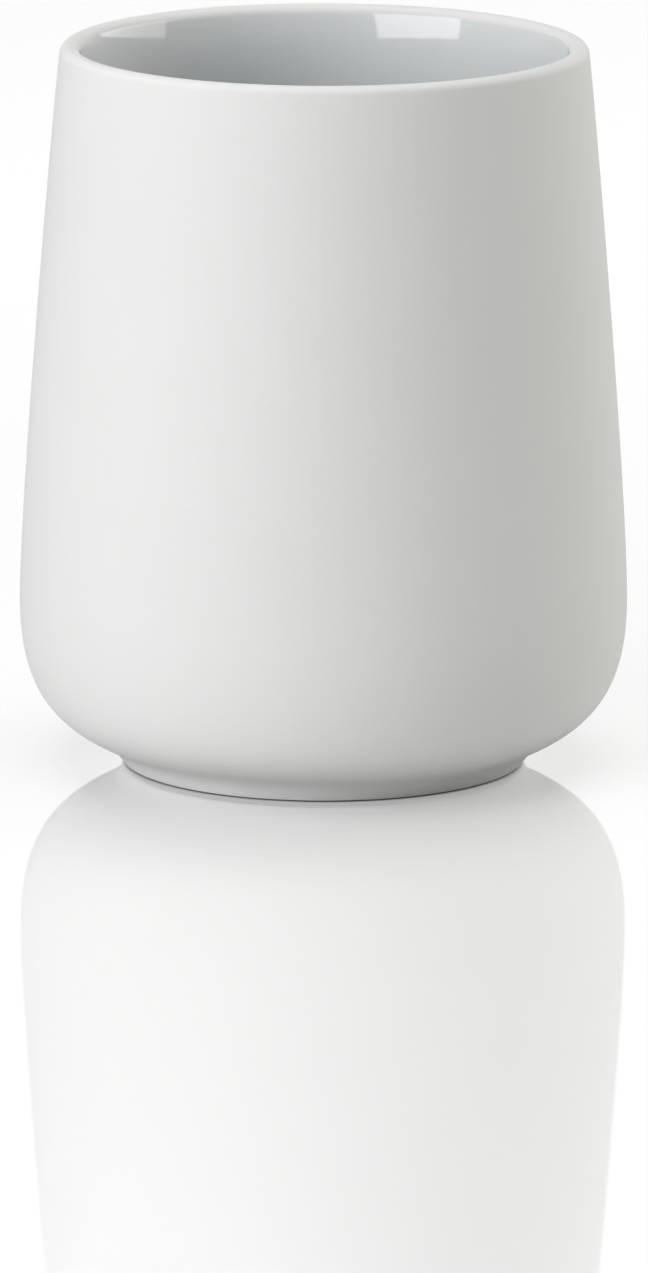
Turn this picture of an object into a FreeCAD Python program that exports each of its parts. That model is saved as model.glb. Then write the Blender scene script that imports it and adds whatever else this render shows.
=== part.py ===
import FreeCAD, Part
import math
import os

# Bathroom tumbler: a cast ceramic cup with no handle. The shell carries a matte coat outside and a
# glossy glaze inside, and it stands on a soft ring that is set in a groove of its foot.
# Sizes are in millimetres and angles in degrees. Z is the axis of the cup, and the ring rests on Z = 0.

# Lip: a small round on the outside meets a larger one on the inside at the crest. The coat comes over
# the crest and ends part of the way down the inner round, where the glaze takes over.
overall_height = 101.0
lip_radius = 36.6
lip_outer_round = 1.3
lip_inner_round = 1.6
lip_lean = 7.5
lip_flare = 13.0
coat_edge_angle = 30.0

# Wall: a long side curve that swells to the belly, and a tight curve from the belly down to the neck.
# The inside closes in a little below the lip and then follows the outside.
belly_radius = 42.3
belly_height = 22.9
belly_wall = 5.0
side_top_share = 0.07
side_bottom_share = 0.186
cavity_top_share = 0.20
belly_top_share = 0.66
belly_bottom_share = 0.606

# Neck and foot: a concave round leads into a foot wall that narrows towards the table
neck_slope = 24.0
neck_round = 2.5
foot_radius = 27.8
foot_slope = 51.0
foot_wall_height = 2.1
foot_edge_round = 0.2
foot_width = 5.2
foot_land = 0.9

# Base: a shallow recess inside the foot, and the floor of the cavity above it
recess_depth = 2.4
recess_slope = 75.0
recess_round = 1.2
floor_thickness = 4.6
floor_share = 0.64
floor_rise_share = 0.62
floor_run_share = 0.60

# Finishes: even layers on the ceramic
coat_thickness = 0.4
glaze_thickness = 0.4

# Soft ring and its adhesive film
ring_thickness = 0.9
ring_proud = 0.12
ring_clearance = 0.1
ring_edge_round = 0.1
film_thickness = 0.15

# Stretches of each free curve, and points that the inset of a stretch passes through, ends included
stretch_count = 4
inset_stations = 13

origin = FreeCAD.Vector(0, 0, 0)
up = FreeCAD.Vector(0, 0, 1)
across_section = FreeCAD.Vector(0, 1, 0)
quarter_turn = 90
half_turn = 180
full_turn = 360


def at(radius, height):
    """A point of the half section that is turned about the axis."""
    return FreeCAD.Vector(radius, 0, height)


def towards(angle):
    """A unit step in the half section: 0 degrees is straight out from the axis, 90 is straight up."""
    return at(math.cos(math.radians(angle)), math.sin(math.radians(angle)))


def round_edge(centre, radius, first_angle, last_angle):
    """An arc about a centre, given by the directions of its two ends."""
    angles = (first_angle, (first_angle + last_angle) / 2, last_angle)
    return Part.Arc(*[centre + towards(angle) * radius for angle in angles])


def start(curve):
    return curve.value(curve.FirstParameter)


def end(curve):
    return curve.value(curve.LastParameter)


def sunk(curve, depth):
    """The same stretch of the outline, moved into the ceramic by an even depth.

    The outline runs from the middle of the cavity's floor up the inside, over the lip, down the outside
    and in under the foot, so the ceramic is always on the same side of its direction of travel.
    """
    span = (curve.LastParameter - curve.FirstParameter) / (inset_stations - 1)
    stations = [curve.FirstParameter + span * k for k in range(inset_stations)]
    tangents = [curve.tangent(station)[0] for station in stations]
    normals = [tangent.cross(across_section) for tangent in tangents]
    points = [curve.value(station) - normal * depth for station, normal in zip(stations, normals)]
    if isinstance(curve, Part.LineSegment):
        return Part.LineSegment(points[0], points[-1])
    if isinstance(curve, Part.Arc):
        return Part.Arc(points[0], points[inset_stations // 2], points[-1])
    spline = Part.BSplineCurve()
    spline.interpolate(Points=points, InitialTangent=tangents[0], FinalTangent=tangents[-1])
    return spline


def free_curve(*poles):
    """A curve that leaves and arrives along its first and last pair of poles, in short stretches.

    Each stretch turns into a short face, and the volume of a thin layer between short faces comes out true.
    """
    stretches = []
    for k in range(stretch_count):
        stretch = Part.BezierCurve()
        stretch.setPoles(list(poles))
        stretch.segment(k / stretch_count, (k + 1) / stretch_count)
        stretches.append(stretch)
    return stretches


def closing(curves):
    """Straight lines that close the gaps from each curve to the next, and from the last to the first."""
    pairs = zip(curves, curves[1:] + curves[:1])
    gaps = [(end(curve), start(follower)) for curve, follower in pairs]
    touching = Part.Precision.confusion()
    return [Part.LineSegment(here, there) for here, there in gaps if not here.isEqual(there, touching)]


def turned(curves):
    """The solid made by turning a closed half section about the axis."""
    edges = [curve.toShape() for curve in curves + closing(curves)]
    section = Part.Face(Part.Wire(Part.sortEdges(edges)[0]))
    return section.revolve(origin, up, full_turn)


def backwards(curves):
    """The same curves with the direction of travel turned round."""
    flipped = [curve.copy() for curve in reversed(curves)]
    for curve in flipped:
        curve.reverse()
    return flipped


def skin(outline, depth):
    """An even layer between a stretch of the outline and the same stretch moved into the ceramic."""
    return turned(outline + backwards([sunk(curve, depth) for curve in outline]))


def washer(outer_radius, inner_radius, bottom, thickness):
    """A flat ring about the axis."""
    disc = Part.makeCylinder(outer_radius, thickness, at(0, bottom))
    return disc.cut(Part.makeCylinder(inner_radius, thickness, at(0, bottom)))


# Lip, from the flared inside over the crest to the leaning outside
crest = at(lip_radius - lip_outer_round, overall_height)
inner_centre = crest - up * lip_inner_round
outer_centre = crest - up * lip_outer_round
coat_edge = half_turn - coat_edge_angle
glazed_lip = round_edge(inner_centre, lip_inner_round, half_turn - lip_flare, coat_edge)
coated_lip = round_edge(inner_centre, lip_inner_round, coat_edge, quarter_turn)
outer_lip = round_edge(outer_centre, lip_outer_round, quarter_turn, lip_lean)
down_outside = towards(lip_lean - quarter_turn)
down_inside = towards(-quarter_turn - lip_flare)

# Foot, from its straight wall down to the bare face that the ring is let into
foot_corner = at(foot_radius, ring_proud)
foot_wall_length = foot_wall_height / math.sin(math.radians(foot_slope))
foot_wall_top = foot_corner + towards(foot_slope) * foot_wall_length
finished_foot_round = foot_edge_round + coat_thickness
foot_round_reach = finished_foot_round * math.tan(math.radians(foot_slope / 2))
foot_round_centre = foot_corner + at(-foot_round_reach, finished_foot_round)
foot_wall = Part.LineSegment(foot_wall_top, foot_corner + towards(foot_slope) * foot_round_reach)
foot_round = round_edge(foot_round_centre, finished_foot_round, foot_slope - quarter_turn, -quarter_turn)

# Outside of the wall, from the lip down to the foot
belly = at(belly_radius, belly_height)
neck_centre = foot_wall_top + towards(foot_slope - quarter_turn) * neck_round
neck = round_edge(neck_centre, neck_round, neck_slope + quarter_turn, foot_slope + quarter_turn)
side_rise = end(outer_lip).z - belly.z
side = free_curve(
    end(outer_lip),
    end(outer_lip) + down_outside * (side_top_share * side_rise),
    belly + up * (side_bottom_share * side_rise),
    belly,
)
belly_drop = belly.z - start(neck).z
belly_run = belly.x - start(neck).x
belly_curve = free_curve(
    belly,
    belly - up * (belly_top_share * belly_drop),
    start(neck) + towards(neck_slope) * (belly_bottom_share * belly_run),
    start(neck),
)
outside = [coated_lip, outer_lip, *side, *belly_curve, neck, foot_wall, foot_round]

# Inside of the wall, from the middle of the floor up to the lip
recess_roof = ring_proud + recess_depth
floor_height = recess_roof + floor_thickness
cavity_belly = at(belly_radius - belly_wall, belly_height)
floor_edge = at(floor_share * cavity_belly.x, floor_height)
floor_rise = cavity_belly.z - floor_edge.z
floor_run = cavity_belly.x - floor_edge.x
cavity_rise = start(glazed_lip).z - cavity_belly.z
floor = Part.LineSegment(at(0, floor_height), floor_edge)
floor_curve = free_curve(
    floor_edge,
    floor_edge + at(floor_run_share * floor_run, 0),
    cavity_belly - up * (floor_rise_share * floor_rise),
    cavity_belly,
)
cavity_side = free_curve(
    cavity_belly,
    cavity_belly + up * (side_bottom_share * cavity_rise),
    start(glazed_lip) + down_inside * (cavity_top_share * cavity_rise),
    start(glazed_lip),
)
inside = [floor, *floor_curve, *cavity_side, glazed_lip]

# Groove for the ring: it leaves the same land of bare ceramic along both edges of the foot
foot_inner = foot_radius - foot_width
groove_outer = foot_radius - foot_land
groove_inner = foot_inner + foot_land
groove_roof = ring_thickness + film_thickness
groove = [
    Part.LineSegment(at(groove_outer, ring_proud), at(groove_outer, groove_roof)),
    Part.LineSegment(at(groove_outer, groove_roof), at(groove_inner, groove_roof)),
    Part.LineSegment(at(groove_inner, groove_roof), at(groove_inner, ring_proud)),
]

# Recess: a bare wall up from the inner edge of the foot, and a round into the glazed roof
recess_corner = at(foot_inner - recess_depth / math.tan(math.radians(recess_slope)), recess_roof)
recess_round_reach = recess_round * math.tan(math.radians(recess_slope / 2))
recess_round_centre = recess_corner + at(-recess_round_reach, -recess_round)
recess_wall = Part.LineSegment(
    at(foot_inner, ring_proud),
    recess_corner - towards(half_turn - recess_slope) * recess_round_reach,
)
recess_curve = round_edge(recess_round_centre, recess_round, quarter_turn - recess_slope, quarter_turn)
roof = Part.LineSegment(end(recess_curve), at(0, recess_roof))
recess = [recess_curve, roof]

# The ceramic is the whole section less the layers of finish on it
ceramic_section = (
    [sunk(curve, glaze_thickness) for curve in inside]
    + [sunk(curve, coat_thickness) for curve in outside]
    + [Part.LineSegment(end(foot_round), start(groove[0]))]
    + groove
    + [recess_wall]
    + [sunk(curve, glaze_thickness) for curve in recess]
)

# Ring: it lies on its film in the groove, with clearance at both sides and softened lower edges
ring_outer = groove_outer - ring_clearance
ring_inner = groove_inner + ring_clearance
ring = washer(ring_outer, ring_inner, 0, ring_thickness)
lower_edges = [edge for edge in ring.Edges if edge.BoundBox.ZMax < ring_edge_round]

pieces = {
    "ceramic_body": turned(ceramic_section),
    "soft_touch_coat": skin(outside, coat_thickness),
    "inner_glaze": skin(inside, glaze_thickness),
    "base_glaze": skin(recess, glaze_thickness),
    "ring_adhesive": washer(ring_outer, ring_inner, ring_thickness, film_thickness),
    "non_slip_ring": ring.makeFillet(ring_edge_round, lower_edges),
}

os.makedirs("parts", exist_ok=True)
for name, piece in pieces.items():
    solid = piece.Solids[0]
    solid.exportStep("parts/" + name + ".step")
    print(name, "valid" if solid.isValid() else "NOT VALID", round(solid.Volume), "mm3", solid.BoundBox)
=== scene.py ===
# %% [markdown]
# # A bathroom tumbler, dressed for its picture
# The cup is cast stoneware. Its outside has a matte soft-touch coat, its inside has a glossy grey glaze,
# and a soft ring in a groove of the foot keeps it from sliding. The solids come from the CAD model in
# metres, so every surface below uses the same sizes and lands on them with no fitting. This first cell
# loads those solids. The dressed cup has to fill the same space.

# %% Load the frame
import bpy
import math
import numpy as np
from mathutils import Matrix


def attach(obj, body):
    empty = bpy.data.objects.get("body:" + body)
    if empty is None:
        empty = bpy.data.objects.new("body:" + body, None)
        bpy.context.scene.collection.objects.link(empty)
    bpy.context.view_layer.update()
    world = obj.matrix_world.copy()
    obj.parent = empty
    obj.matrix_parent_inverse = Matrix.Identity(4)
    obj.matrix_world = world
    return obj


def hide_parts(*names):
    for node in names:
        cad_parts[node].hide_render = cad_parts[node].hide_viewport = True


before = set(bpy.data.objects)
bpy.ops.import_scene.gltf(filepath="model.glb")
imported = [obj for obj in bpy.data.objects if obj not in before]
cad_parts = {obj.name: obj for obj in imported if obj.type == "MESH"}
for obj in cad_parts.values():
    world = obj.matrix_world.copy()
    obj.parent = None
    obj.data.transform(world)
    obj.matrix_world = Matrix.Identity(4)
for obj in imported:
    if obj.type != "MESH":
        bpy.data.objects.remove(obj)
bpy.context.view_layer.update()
mm = 0.001


# %% [markdown]
# ## Camera
# The photograph was taken from well back with a long lens, a little above the lip. Two ellipses give this
# away: the lip and the foot are almost equally flat, so the view is close to a parallel one. The distance,
# height, tilt and lens below are the ones whose lines of sight graze the cup exactly along its outline.

# %% Place the camera
camera_back = 1.7313
camera_height = 0.3843
camera_aside = 0.00008
tilt_down = math.radians(11.966)
roll = math.radians(0.10)

lens = bpy.data.cameras.new("long_lens")
lens.lens = 359.0
lens.sensor_width = 36.0
lens.clip_end = 20.0
camera = bpy.data.objects.new("camera", lens)
camera.location = (camera_aside, -camera_back, camera_height)
raised = Matrix.Rotation(math.pi / 2 - tilt_down, 3, "X")
camera.rotation_euler = (raised @ Matrix.Rotation(roll, 3, "Z")).to_euler()
bpy.context.collection.objects.link(camera)
bpy.context.scene.camera = camera
bpy.context.scene.view_settings.view_transform = "Standard"
print("camera", tuple(round(c, 4) for c in camera.location), "lens", lens.lens, "mm")

# %% [markdown]
# ## Lines of the half section
# A potter would cut a template of half the cup and turn the clay against it. The same works here: three
# kinds of line, each a small function that returns points (radius, height), are chained into a template.
# An array of points is easier to bend, offset and turn than a row of modifiers would be.

# %% Arc, run and sweep
def towards(angle):
    """Unit step at an angle in degrees: 0 points away from the axis, 90 straight up."""
    angle = np.radians(angle)
    return np.stack([np.cos(angle), np.sin(angle)], axis=-1)


def arc(centre, radius, first, last, count):
    """Centre plus the radius times the unit step, as the angle goes evenly from first to last.

    The first angle may be an array, one for each direction round the cup: the arc then has an extra axis.
    """
    share = np.linspace(0.0, 1.0, count)
    first = np.asarray(first, float)
    angle = first[..., None] * (1 - share) + last * share
    return np.asarray(centre) + radius * towards(angle)


def run(first, last, count):
    """Straight line: the first point times 1 - t plus the last point times t."""
    share = np.linspace(0.0, 1.0, count)[:, None]
    return np.asarray(first) * (1 - share) + np.asarray(last) * share


def sweep(first, leave, arrive, last, count):
    """Cubic curve: the four points weighted by (1-t)^3, 3(1-t)^2 t, 3(1-t) t^2 and t^3."""
    t = np.linspace(0.0, 1.0, count)[:, None]
    weights = [(1 - t) ** 3, 3 * (1 - t) ** 2 * t, 3 * (1 - t) * t**2, t**3]
    return sum(weight * np.asarray(point) for weight, point in zip(weights, (first, leave, arrive, last)))


def chain(*lines):
    """Lines end to end, each without its first point, which is the last point of the line before."""
    return np.concatenate([lines[0]] + [line[..., 1:, :] for line in lines[1:]], axis=-2)


quarter_round = arc((0, 0), 1.0, 0, 90, count=50)
chords = np.linalg.norm(np.diff(quarter_round, axis=0), axis=1)
print("a quarter round of 1 mm is", round(float(chords.sum()), 4), "mm long")

# %% [markdown]
# ## Turning a template
# Turning carries the template round the axis: a grid with one direction along the template and the other
# round the cup. Blender's Screw modifier turns a line as well, but only one that is the same all round, and
# the edge of the coat is not. Where a template starts or ends on the axis, the grid closes in a single
# point, so there is no seam and no hole. A template that comes back to its start gives a closed skin.

# %% Turned skin
around = 192
turn = np.linspace(0.0, 2 * np.pi, around, endpoint=False)
touches_axis = 1e-9
sharp_edge = math.radians(35)


def turned_skin(name, template):
    """Each template point (radius, height) goes to (radius cos a, radius sin a, height) for every angle a.

    The template runs so that the skin's outside is on the left of its direction of travel, and it has
    either one line for all angles or one line for each.
    """
    template = np.asarray(template, float) * mm
    lines = np.broadcast_to(template, (around,) + template.shape[-2:])
    poles = lines[0, :, 0] < touches_axis
    rings = lines[:, ~poles]
    count = rings.shape[1]
    points = np.stack([
        rings[..., 0] * np.cos(turn)[:, None],
        rings[..., 0] * np.sin(turn)[:, None],
        rings[..., 1],
    ], axis=-1).reshape(-1, 3)

    here = np.arange(around)[:, None] * count
    there = np.roll(here, -1, axis=0)
    open_ended = poles.any()
    step = np.arange(count - 1 if open_ended else count)[None, :]
    ahead = (step + 1) % count
    quads = np.stack([here + step, here + ahead, there + ahead, there + step], axis=-1).reshape(-1, 4)
    faces = quads.tolist()
    if open_ended:
        tips = lines[0, poles]
        points = np.vstack([points, np.column_stack([np.zeros((2, 2)), tips[:, 1]])])
        first_tip, last_tip = len(points) - 2, len(points) - 1
        near, far = here[:, 0], there[:, 0]
        first_fan = np.column_stack([np.full(around, first_tip), near, far])
        last_fan = np.column_stack([np.full(around, last_tip), far + count - 1, near + count - 1])
        faces += first_fan.tolist() + last_fan.tolist()

    mesh = bpy.data.meshes.new(name)
    mesh.from_pydata(points.tolist(), [], faces)
    mesh.polygons.foreach_set("use_smooth", np.ones(len(mesh.polygons), bool))
    mesh.set_sharp_from_angle(angle=sharp_edge)
    piece = bpy.data.objects.new(name, mesh)
    bpy.context.collection.objects.link(piece)
    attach(piece, "root")
    size = np.ptp(points, axis=0) / mm
    print(name, len(points), "points,", len(faces), "faces,", np.round(size, 2), "mm")
    return piece


print("a turned skin has", around, "lines round the cup")

# %% [markdown]
# ## Layers
# Coat and glaze are thin layers on the ceramic, so each is a closed skin: out along the face that is seen
# and back along the same line moved inwards. A Solidify modifier would do this for one surface, but here
# the face may differ a little from the line under it, and the hidden side can make do with fewer points.

# %% Moved lines and layer templates
def sunk(line, depth):
    """The line moved square to itself, to the right of its direction of travel, by an even depth."""
    along = np.gradient(line, axis=-2)
    along /= np.linalg.norm(along, axis=-1, keepdims=True)
    return line + depth * np.stack([along[..., 1], -along[..., 0]], axis=-1)


def skin_template(face, hidden, every):
    """Closed template of a layer: along its face, and back over every few points of its hidden line."""
    keep = np.unique(np.append(np.arange(0, hidden.shape[-2], every), hidden.shape[-2] - 1))
    return np.concatenate([face, hidden[..., keep[::-1], :]], axis=-2)


def all_round(line):
    """The same line for every angle round the cup."""
    return np.broadcast_to(line, (around,) + line.shape)


coat_thickness = 0.4
glaze_thickness = 0.4
print("coat", coat_thickness, "mm and glaze", glaze_thickness, "mm thick")

# %% [markdown]
# ## Lip
# The crest of the lip is narrow. Outside it rounds off tightly, inside more gently, and the inside goes on
# closing in for a little way below, which is why it catches the lights in a bright band under the lip. The
# matte coat was sprayed over the crest and stops inside it. A sprayed edge is never quite even, so the
# angle at which it stops drifts by a few degrees round the cup; the glaze starts on the same wavy line.

# %% Lip lines
overall_height = 101.0
lip_radius = 36.6
lip_outer_round = 1.3
lip_inner_round = 1.6
lip_lean = 7.5
lip_flare = 13.0
coat_edge_angle = 30.0

crest = np.array([lip_radius - lip_outer_round, overall_height])
inner_centre = crest - [0, lip_inner_round]
outer_centre = crest - [0, lip_outer_round]
# Degrees of drift: a slow, a middling and a quick wave round the lip
drift = 1.6 * np.sin(3 * turn + 0.4) + 1.1 * np.sin(7 * turn + 1.9) + 0.7 * np.sin(16 * turn + 0.8)
coat_edge = 180.0 - coat_edge_angle + drift
coated_lip = arc(inner_centre, lip_inner_round, coat_edge, 90.0, count=22)
glazed_lip = arc(inner_centre, lip_inner_round, coat_edge, 180.0 - lip_flare, count=12)[..., ::-1, :]
outer_lip = arc(outer_centre, lip_outer_round, 90.0, lip_lean, count=24)
drift_reach = math.radians(np.ptp(drift) / 2) * lip_inner_round
print("coat edge drifts by", round(drift_reach, 3), "mm each way")

# %% [markdown]
# ## Outside of the wall
# From the lip the side leans out in one long, almost straight curve to the belly, then turns in under it
# quickly. A small hollow, the neck, sets off the low foot, whose wall narrows to the table. These are the
# curves that make the outline of the cup. A subdivided cage would only come near them, so they are the
# cubic curves and arcs of the CAD model itself.

# %% Outside lines
belly_radius, belly_height = 42.3, 22.9
side_top_share, side_bottom_share = 0.07, 0.186
belly_top_share, belly_bottom_share = 0.66, 0.606
neck_slope, neck_round = 24.0, 2.5
foot_radius, foot_slope, foot_wall_height, foot_round = 27.8, 51.0, 2.1, 0.6
ring_proud = 0.12

foot_corner = np.array([foot_radius, ring_proud])
foot_wall_top = foot_corner + towards(foot_slope) * foot_wall_height / math.sin(math.radians(foot_slope))
foot_reach = foot_round * math.tan(math.radians(foot_slope / 2))
foot_wall = run(foot_wall_top, foot_corner + towards(foot_slope) * foot_reach, count=8)
foot_edge = arc(foot_corner + [-foot_reach, foot_round], foot_round, foot_slope - 90, -90, count=10)
neck_centre = foot_wall_top + towards(foot_slope - 90) * neck_round
neck = arc(neck_centre, neck_round, neck_slope + 90, foot_slope + 90, count=16)

belly = np.array([belly_radius, belly_height])
wall_start = outer_lip[-1]
side_rise = wall_start[1] - belly[1]
side = sweep(
    wall_start,
    wall_start + towards(lip_lean - 90) * side_top_share * side_rise,
    belly + [0, side_bottom_share * side_rise],
    belly,
    count=120,
)
under = neck[0]
under_belly = sweep(
    belly,
    belly - [0, belly_top_share * (belly[1] - under[1])],
    under + towards(neck_slope) * belly_bottom_share * (belly[0] - under[0]),
    under,
    count=70,
)
below_lip = chain(outer_lip, side, under_belly, neck, foot_wall, foot_edge)
print("belly", belly * [2, 1], "mm across and high up; neck starts at", np.round(under, 2))

# %% [markdown]
# ## Coat on the outside
# A sprayed coat gathers in a hollow. In the neck its face is therefore a softer curve than the ceramic
# under it, and the neck shows as a faint band of shade and not as a line. Smoothing the mesh would soften
# the lip too, so only this stretch of the line is drawn anew.

# %% Soft-touch coat
def gathered(line, first, last):
    """The line with a stretch of it replaced by a cubic that keeps the directions at both ends."""
    leave = line[first] - line[first - 1]
    arrive = line[last + 1] - line[last]
    reach = np.linalg.norm(line[last] - line[first]) / 3
    face = line.copy()
    face[first:last + 1] = sweep(
        line[first],
        line[first] + leave * reach / np.linalg.norm(leave),
        line[last] - arrive * reach / np.linalg.norm(arrive),
        line[last],
        count=last - first + 1,
    )
    return face


steps_above_neck, steps_below_neck = 5, 3
neck_first = len(chain(outer_lip, side, under_belly)) - 1
neck_last = neck_first + len(neck) - 1
coat_below_lip = gathered(below_lip, neck_first - steps_above_neck, neck_last + steps_below_neck)
coat_face = chain(coated_lip, all_round(coat_below_lip))
coat_hidden = sunk(chain(coated_lip, all_round(below_lip)), coat_thickness)
soft_touch_coat = turned_skin("tumbler_soft_touch_coat", skin_template(coat_face, coat_hidden, every=5))
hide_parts("soft_touch_coat")

# %% [markdown]
# ## Inside of the cup
# The floor is flat and runs up into the wall in a generous curve, so that a brush or a finger can clean
# it. Glaze is glass: it has a smooth face of its own, and a turned grid with many steps along the wall
# keeps the mirrored lights clean where a coarser mesh would break them up.

# %% Inside lines and glaze
belly_wall, recess_depth, floor_thickness = 5.0, 2.4, 4.6
floor_share, floor_run_share, floor_rise_share = 0.64, 0.60, 0.62
cavity_top_share = 0.20

recess_roof = ring_proud + recess_depth
floor_height = recess_roof + floor_thickness
cavity_belly = belly - [belly_wall, 0]
floor_edge = np.array([floor_share * cavity_belly[0], floor_height])
floor_rise = cavity_belly[1] - floor_edge[1]
floor_run = cavity_belly[0] - floor_edge[0]
floor = run((0.0, floor_height), floor_edge, count=40)
floor_curve = sweep(
    floor_edge,
    floor_edge + [floor_run_share * floor_run, 0],
    cavity_belly - [0, floor_rise_share * floor_rise],
    cavity_belly,
    count=60,
)
throat = inner_centre + lip_inner_round * towards(180.0 - lip_flare)
cavity_rise = throat[1] - cavity_belly[1]
cavity_side = sweep(
    cavity_belly,
    cavity_belly + [0, side_bottom_share * cavity_rise],
    throat + towards(-90 - lip_flare) * cavity_top_share * cavity_rise,
    throat,
    count=130,
)
glaze_line = chain(all_round(chain(floor, floor_curve, cavity_side)), glazed_lip)
glaze_template = skin_template(glaze_line, sunk(glaze_line, glaze_thickness), every=5)
inner_glaze = turned_skin("tumbler_inner_glaze", glaze_template)
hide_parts("inner_glaze")

# %% [markdown]
# ## Underside
# Nobody looks here in the photograph, but the cup can be picked up. A shallow recess keeps the floor of
# the cup off wet shelves. Its roof is glazed, its wall and the face of the foot are bare ceramic, and
# the soft ring lies in its groove between two narrow bare lands. The ring is a flat band with softened
# lower edges, so it is turned from its section and not made from a torus.

# %% Base glaze
foot_width, foot_land = 5.2, 0.9
recess_slope, recess_round = 75.0, 1.2

foot_inner = foot_radius - foot_width
recess_corner = np.array([foot_inner - recess_depth / math.tan(math.radians(recess_slope)), recess_roof])
recess_reach = recess_round * math.tan(math.radians(recess_slope / 2))
recess_curve_centre = recess_corner + [-recess_reach, -recess_round]
recess_line = chain(
    arc(recess_curve_centre, recess_round, 90 - recess_slope, 90, count=16),
    run((recess_corner[0] - recess_reach, recess_roof), (0.0, recess_roof), count=30),
)
recess_template = skin_template(recess_line, sunk(recess_line, glaze_thickness), every=3)
from_axis = np.roll(recess_template, -len(recess_line), axis=0)
base_glaze = turned_skin("tumbler_base_glaze", from_axis)
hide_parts("base_glaze")

# %% Soft ring
ring_clearance, ring_thickness, ring_edge = 0.1, 0.9, 0.1

ring_outer = foot_radius - foot_land - ring_clearance
ring_inner = foot_inner + foot_land + ring_clearance
ring_line = chain(
    run((ring_inner, ring_thickness), (ring_inner, ring_edge), count=6),
    arc((ring_inner + ring_edge, ring_edge), ring_edge, 180, 270, count=6),
    run((ring_inner + ring_edge, 0), (ring_outer - ring_edge, 0), count=14),
    arc((ring_outer - ring_edge, ring_edge), ring_edge, -90, 0, count=6),
    run((ring_outer, ring_edge), (ring_outer, ring_thickness), count=6),
    run((ring_outer, ring_thickness), (ring_inner, ring_thickness), count=14),
)[:-1]
non_slip_ring = turned_skin("tumbler_non_slip_ring", ring_line[::-1])
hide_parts("non_slip_ring")

# %% [markdown]
# ## Writing finishes as sums
# A finish is a web of nodes. Wiring it by hand hides the idea, so a small class wraps a socket and lets
# Python's own signs add the Math nodes: two wires with a plus between them become an Add node. Every other
# node comes from one method that takes its type, its settings and what goes into its sockets.

# %% Wire
class Wire:
    """One output socket of a finish. Signs between wires and numbers add Math nodes."""

    def __init__(self, finish, socket):
        self.finish = finish
        self.socket = socket

    def sum(self, operation, first, second):
        return self.finish.node("ShaderNodeMath", {"operation": operation}, {0: first, 1: second})

    def __add__(self, other):
        return self.sum("ADD", self, other)

    def __sub__(self, other):
        return self.sum("SUBTRACT", self, other)

    def __rsub__(self, other):
        return self.sum("SUBTRACT", other, self)

    def __mul__(self, other):
        return self.sum("MULTIPLY", self, other)

    def __pow__(self, other):
        return self.sum("POWER", self, other)

    __radd__ = __add__
    __rmul__ = __mul__


print("signs that add Math nodes: + - * **")

# %% Finish
class Finish:
    """A node tree with one method that adds any node, and short names for the nodes used most."""

    def __init__(self, owner):
        owner.use_nodes = True
        self.tree = owner.node_tree
        self.tree.nodes.clear()

    def node(self, kind, settings, sockets, output=0):
        made = self.tree.nodes.new(kind)
        for setting, value in settings.items():
            setattr(made, setting, value)
        for socket, value in sockets.items():
            if isinstance(value, Wire):
                self.tree.links.new(value.socket, made.inputs[socket])
            else:
                made.inputs[socket].default_value = value
        return Wire(self, made.outputs[output]) if made.outputs else made

    def place(self):
        """Object coordinates, which are metres in the shared frame."""
        return self.node("ShaderNodeTexCoord", {}, {}, "Object")

    def parts(self, place):
        """The x, y and z of a place, each as a wire."""
        split = self.node("ShaderNodeSeparateXYZ", {}, {0: place}).socket.node
        return [Wire(self, output) for output in split.outputs]

    def noise(self, place, grain, detail=2.0, rough=0.5):
        """Noise between 0 and 1 whose blotches are about the given number of millimetres across."""
        sockets = {"Vector": place, "Scale": 1 / (grain * mm), "Detail": detail, "Roughness": rough}
        return self.node("ShaderNodeTexNoise", {}, sockets)

    def spots(self, place, spacing, core, edge):
        """1 in small scattered spots and 0 between them, where the spacing is in millimetres.

        Each spot fades out from its core to its edge, which are shares of the spacing.
        """
        sockets = {"Vector": place, "Scale": 1 / (spacing * mm), "Randomness": 1.0}
        return 1 - self.fade(self.node("ShaderNodeTexVoronoi", {}, sockets), core, edge)

    def fade(self, value, start, end):
        """0 up to start, 1 from end on, and smooth between them."""
        sockets = {"Value": value, "From Min": start, "From Max": end}
        return self.node("ShaderNodeMapRange", {"interpolation_type": "SMOOTHSTEP"}, sockets)

    def blend(self, share, first, second):
        """The first colour where the share is 0, the second where it is 1."""
        return self.node("ShaderNodeMix", {"data_type": "RGBA"}, {0: share, 6: first, 7: second}, 2)

    def bump(self, height, strength, depth):
        """Normal that tilts as if the surface rose by the height times the depth in millimetres."""
        sockets = {"Strength": strength, "Distance": depth * mm, "Height": height}
        return self.node("ShaderNodeBump", {}, sockets)

    def surface(self, shader):
        """A shader joined to the output."""
        self.node("ShaderNodeOutputMaterial", {}, {"Surface": shader})

    def skin(self, sockets):
        """Principled shader, joined to the output."""
        self.surface(self.node("ShaderNodeBsdfPrincipled", {}, sockets))


def new_finish(name):
    material = bpy.data.materials.new(name)
    return material, Finish(material)


def wear(piece, material):
    piece.data.materials.clear()
    piece.data.materials.append(material)
    print(piece.name, "wears", material.name, "with", len(material.node_tree.nodes), "nodes")


print("a finish offers", [name for name in vars(Finish) if not name.startswith("_")])
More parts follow.
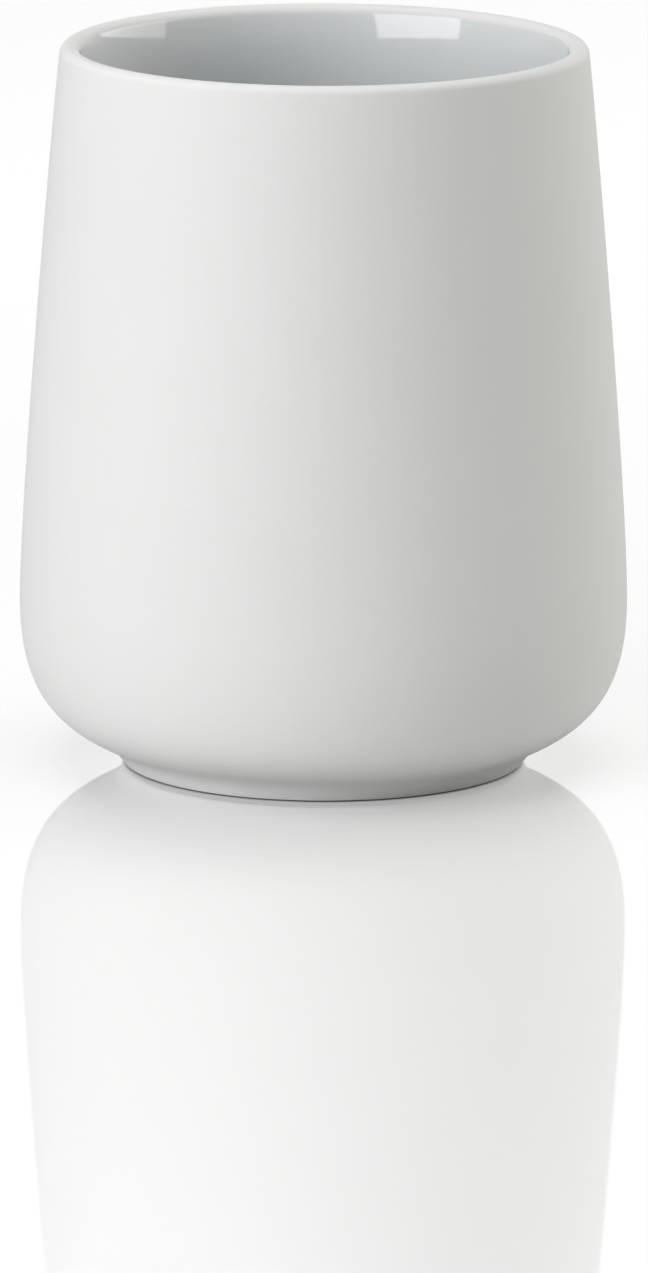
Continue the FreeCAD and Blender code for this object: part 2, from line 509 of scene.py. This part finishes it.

# %% [markdown]
# ## Finish of the coat
# A soft-touch lacquer is a very light, slightly warm grey. It looks even from a distance, but close up it
# has the fine orange-peel of a sprayed coat, faint clouds where it went on thicker, and a few specks of
# dust that it dried around. Hands polish the lip a little. The neck and the low foot wall carry a trace of
# painted shade, darker towards the foot. Noise that is measured in millimetres gives all this with no
# seams.

# %% Coat finish
soft_touch, made = new_finish("soft_touch_lacquer")
place = made.place()
z = made.parts(place)[2]
clouds = made.noise(place, 18.0, detail=3.0)
peel = made.noise(place, 0.55)
grain = made.noise(place, 0.12, detail=1.0)
specks = made.spots(place, 3.2, core=0.020, edge=0.045)
# Painted shade: the neck and the low foot wall are painted darker towards the foot.
foot_painted_shade = made.fade(z, 4.6 * mm, 1.8 * mm)
lip_polish = made.fade(z, (overall_height - 1.4) * mm, (overall_height - 0.2) * mm)
tone = made.blend(clouds, (0.800, 0.800, 0.790, 1), (0.826, 0.825, 0.817, 1))
tone = made.blend(0.08 * grain, tone, (0.62, 0.62, 0.60, 1))
tone = made.blend(0.22 * specks, tone, (0.42, 0.41, 0.38, 1))
tone = made.blend(foot_painted_shade * (0.01 + 0.05 * clouds), tone, (0.40, 0.39, 0.36, 1))
made.skin({
    "Base Color": tone,
    "Roughness": 0.66 + 0.14 * clouds - 0.10 * lip_polish + 0.06 * peel,
    "IOR": 1.45,
    "Normal": made.bump(peel + 0.35 * grain - 0.8 * specks, strength=0.35, depth=0.02),
})
wear(soft_touch_coat, soft_touch)

# %% [markdown]
# ## Finish of the glaze
# The glaze is a cool grey glass over the pale body. It runs down as it melts: towards the lip it is thin
# and lighter, and in the curve above the floor it gathers and is deepest. Further down the wall it is
# painted a deeper grey, which is painted shade deep in the cup. Its face has a slow ripple that softens
# mirrored edges, and here and there a pinhole where a bubble broke. Fades over the height and the distance
# from the axis follow this, with no need to paint anything by hand.

# %% Glaze finish
glaze, made = new_finish("grey_glaze")
place = made.place()
x, y, z = made.parts(place)
radius = (x * x + y * y) ** 0.5
clouds = made.noise(place, 14.0, detail=3.0)
ripple = made.noise(place, 9.0, detail=1.0)
fine = made.noise(place, 0.8)
pinholes = made.spots(place, 5.5, core=0.012, edge=0.028)
thin_edge = made.fade(z, (overall_height - 2.4) * mm, (overall_height - 0.7) * mm)
# Painted shade: the glaze is painted a deeper grey further down the wall, away from the lip.
deep_painted_shade = made.fade(z, (overall_height - 11.0) * mm, (overall_height - 46.0) * mm)
pooled = made.fade(z, 20.0 * mm, 8.5 * mm) * made.fade(radius, 18.0 * mm, 30.0 * mm)
tone = made.blend(clouds, (0.795, 0.819, 0.824, 1), (0.823, 0.845, 0.849, 1))
tone = made.blend(deep_painted_shade, tone, (0.66, 0.69, 0.70, 1))
tone = made.blend(0.35 * thin_edge, tone, (0.85, 0.85, 0.84, 1))
tone = made.blend(pooled * (0.35 + 0.25 * clouds), tone, (0.54, 0.57, 0.58, 1))
tone = made.blend(0.55 * pinholes, tone, (0.24, 0.24, 0.23, 1))
made.skin({
    "Base Color": tone,
    "Roughness": 0.05 + 0.04 * clouds + 0.25 * pinholes,
    "IOR": 1.52,
    "Normal": made.bump(ripple + 0.03 * fine - 0.5 * pinholes, strength=0.25, depth=0.03),
})
wear(inner_glaze, glaze)
wear(base_glaze, glaze)

# %% [markdown]
# ## Bare ceramic
# Where neither coat nor glaze covers it, the body is dry and matte: warm white, finely grained, with the
# small iron specks that stoneware clay carries. Only the two lands of the foot and the wall of the recess
# show it, so it stays the solid from the CAD model and gets a close-grained finish.

# %% Ceramic finish
stoneware, made = new_finish("bare_stoneware")
place = made.place()
z = made.parts(place)[2]
clouds = made.noise(place, 7.0, detail=3.0)
grain = made.noise(place, 0.22, detail=3.0, rough=0.65)
iron = made.spots(place, 1.7, core=0.05, edge=0.11)
foot_rub = made.fade(z, 0.5 * mm, 0.1 * mm)
tone = made.blend(clouds, (0.78, 0.75, 0.69, 1), (0.83, 0.81, 0.76, 1))
tone = made.blend(0.16 * grain, tone, (0.55, 0.51, 0.45, 1))
tone = made.blend(0.45 * iron, tone, (0.30, 0.22, 0.16, 1))
tone = made.blend(foot_rub * (0.10 + 0.18 * clouds), tone, (0.46, 0.44, 0.41, 1))
made.skin({
    "Base Color": tone,
    "Roughness": 0.86 + 0.10 * grain - 0.12 * foot_rub,
    "IOR": 1.5,
    "Normal": made.bump(grain + 0.5 * iron, strength=0.5, depth=0.03),
})
wear(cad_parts["ceramic_body"], stoneware)

# %% [markdown]
# ## Soft ring and its film
# The ring is matte grey silicone with the bloom of fine dust that such rubber picks up, more so on the
# face that has stood on the table. The film that holds it is a pale carrier with short fibres in it: noise
# that is squeezed along one direction draws them without a single strand of geometry.

# %% Ring finish
silicone, made = new_finish("grey_silicone")
place = made.place()
z = made.parts(place)[2]
bloom = made.noise(place, 2.6, detail=4.0, rough=0.6)
skin_grain = made.noise(place, 0.09)
standing_face = made.fade(z, 0.25 * mm, 0.03 * mm)
tone = made.blend(bloom, (0.25, 0.25, 0.252, 1), (0.33, 0.33, 0.328, 1))
tone = made.blend(standing_face * bloom * 0.5, tone, (0.44, 0.43, 0.40, 1))
made.skin({
    "Base Color": tone,
    "Roughness": 0.62 + 0.22 * bloom,
    "IOR": 1.41,
    "Normal": made.bump(skin_grain, strength=0.4, depth=0.012),
})
wear(non_slip_ring, silicone)

# %% Film finish
film, made = new_finish("pale_film")
stretched = made.node("ShaderNodeMapping", {}, {"Vector": made.place(), "Scale": (1.0, 6.0, 1.0)})
fibres = made.noise(stretched, 0.9, detail=4.0, rough=0.7)
tone = made.blend(fibres, (0.80, 0.78, 0.70, 1), (0.70, 0.67, 0.58, 1))
made.skin({
    "Base Color": tone,
    "Roughness": 0.55 + 0.25 * fibres,
    "IOR": 1.47,
    "Normal": made.bump(fibres, strength=0.3, depth=0.02),
})
wear(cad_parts["ring_adhesive"], film)

# %% [markdown]
# ## Table
# The cup stands on a thin, clear white sheet that blends into a white surround. A plain glossy floor would
# mirror the cup from where it stands, but in the photograph the reflection starts with a fine dark line
# under the foot, so the sheet has two faces. Part of what the camera sees is the white of the upper one,
# with the cup's shadow on it. The rest comes through and is mirrored by the lower one, a little deeper.

# %% Two faces of the sheet
def flat_disc(name, radius, depth):
    """Fan of triangles about the axis that looks up, at a depth in millimetres under the cup."""
    rim = radius * np.stack([np.cos(turn), np.sin(turn), np.zeros(around)], axis=-1)
    points = np.vstack([rim, [[0, 0, 0]]]) - [0, 0, depth * mm]
    spoke = np.arange(around)
    fan = np.stack([np.full(around, around), spoke, (spoke + 1) % around], axis=-1)
    mesh = bpy.data.meshes.new(name)
    mesh.from_pydata(points.tolist(), [], fan.tolist())
    disc = bpy.data.objects.new(name, mesh)
    bpy.context.collection.objects.link(disc)
    print(name, radius, "m in radius,", depth, "mm below the cup")
    return disc


sheet_radius = 3.0
sheet_top = flat_disc("sheet_top", sheet_radius, depth=0.02)
sheet_back = flat_disc("sheet_back", sheet_radius, depth=0.35)

# %% [markdown]
# ## Finish of the table
# Only the camera sees the upper face as a clear white with a glow of its own. Round the foot that glow is
# painted dark in a thin ring, a painted contact shadow. For all other rays the face is plain white and
# throws soft light back up under the belly, and from below it is clear. Mix shaders choose between these,
# because the Light Path node tells the camera's rays from the others.

# %% Table finish
def grey(level):
    return (level, level, level, 1)


clear_share = 0.42
table_white, made = new_finish("clear_white_sheet")
to_camera = made.node("ShaderNodeLightPath", {}, {}, "Is Camera Ray")
x, y = made.parts(made.place())[:2]
reach = (x * x + y * y) ** 0.5
away = made.fade(reach, 0.10, 0.50)
# Painted contact shadow: the camera's glow fades to black in a thin ring round the foot.
clear_of_painted_foot_shadow = made.fade(reach, (foot_radius - 0.4) * mm, (foot_radius + 0.6) * mm)
tone = made.blend(away, grey(0.47), grey(0.59))
tone = made.blend(clear_of_painted_foot_shadow, grey(0), tone)
plain = made.node("ShaderNodeBsdfDiffuse", {}, {"Color": grey(0.75)})
matte = made.node("ShaderNodeBsdfDiffuse", {}, {"Color": grey(0.58)})
glow = made.node("ShaderNodeEmission", {}, {"Color": tone, "Strength": 1.0})
lit = made.node("ShaderNodeAddShader", {}, {0: matte, 1: glow})
clear = made.node("ShaderNodeBsdfTransparent", {}, {"Color": grey(1)})
polished = made.node("ShaderNodeMixShader", {}, {0: clear_share, 1: lit, 2: clear})
from_above = made.node("ShaderNodeMixShader", {}, {0: to_camera, 1: plain, 2: polished})
from_below = made.node("ShaderNodeNewGeometry", {}, {}, "Backfacing")
made.surface(made.node("ShaderNodeMixShader", {}, {0: from_below, 1: from_above, 2: clear}))
wear(sheet_top, table_white)

silvered, made = new_finish("mirrored_lower_face")
made.surface(made.node("ShaderNodeBsdfGlossy", {}, {"Color": grey(1), "Roughness": 0.04}))
wear(sheet_back, silvered)

# %% [markdown]
# ## Light
# The bright patches inside the lip show where the lights stood: a large softbox to the left of the camera
# and a second one to the right and a little behind the cup. Mirrored through the lip, the patches give the
# directions. Area lights are the plain match for softboxes, and a third one overhead opens up the inside.

# %% Softboxes
aim_height = 0.06


def softbox(name, bearing, elevation, distance, width, height, watts, colour):
    """A rectangle that faces the cup: bearing in degrees to the right of the camera, seen from the cup."""
    lamp = bpy.data.lights.new(name, "AREA")
    lamp.shape = "RECTANGLE"
    lamp.size, lamp.size_y = width, height
    lamp.energy = watts
    lamp.color = colour
    holder = bpy.data.objects.new(name, lamp)
    turn_right, rise = math.radians(bearing), math.radians(elevation)
    facing = Matrix.Rotation(turn_right, 4, "Z") @ Matrix.Rotation(math.pi / 2 - rise, 4, "X")
    aimed = Matrix.Translation((0, 0, aim_height)) @ facing
    holder.matrix_world = aimed @ Matrix.Translation((0, 0, distance))
    holder.visible_camera = False
    bpy.context.collection.objects.link(holder)
    print(name, "at", tuple(round(c, 2) for c in holder.matrix_world.translation), watts, "W")


softbox(
    "left_softbox", bearing=-47.2, elevation=15.0, distance=1.2,
    width=0.95, height=0.72, watts=10.4, colour=(0.99, 0.99, 1.0),
)
softbox(
    "right_softbox", bearing=108.3, elevation=15.5, distance=1.2,
    width=1.12, height=0.72, watts=6.6, colour=(1.0, 0.99, 0.93),
)
softbox(
    "top_softbox", bearing=0.0, elevation=90.0, distance=1.3,
    width=1.2, height=1.2, watts=12.5, colour=(1.0, 1.0, 1.0),
)

# %% [markdown]
# ## Surround
# A faint surround fills the shadows. The camera sees it as white. Mirrored rays see white straight behind
# the cup, where the backdrop hangs, and a pale grey room to the sides. One world does the work of a built
# room, because the Light Path node tells these rays apart.

# %% World
room = 0.03
room_sides = 0.45

surround = bpy.data.worlds.new("surround")
bpy.context.scene.world = surround
made = Finish(surround)
path = made.node("ShaderNodeLightPath", {}, {}).socket.node
to_camera, mirrored, through = [
    Wire(made, path.outputs[kind]) for kind in ("Is Camera Ray", "Is Glossy Ray", "Is Transmission Ray")
]
y = made.parts(made.node("ShaderNodeTexCoord", {}, {}, "Generated"))[1]
backdrop = made.fade(y, 0.80, 0.95)
seen = to_camera + (mirrored + through) * (room_sides + (1.0 - room_sides) * backdrop)
white = made.node("ShaderNodeMath", {"operation": "MINIMUM"}, {0: seen, 1: 1.0})
sky = made.node("ShaderNodeBackground", {}, {"Color": grey(1), "Strength": room + (1.0 - room) * white})
made.node("ShaderNodeOutputWorld", {}, {"Surface": sky})
print("surround", room, "for light, 1.0 for the camera")

# %% [markdown]
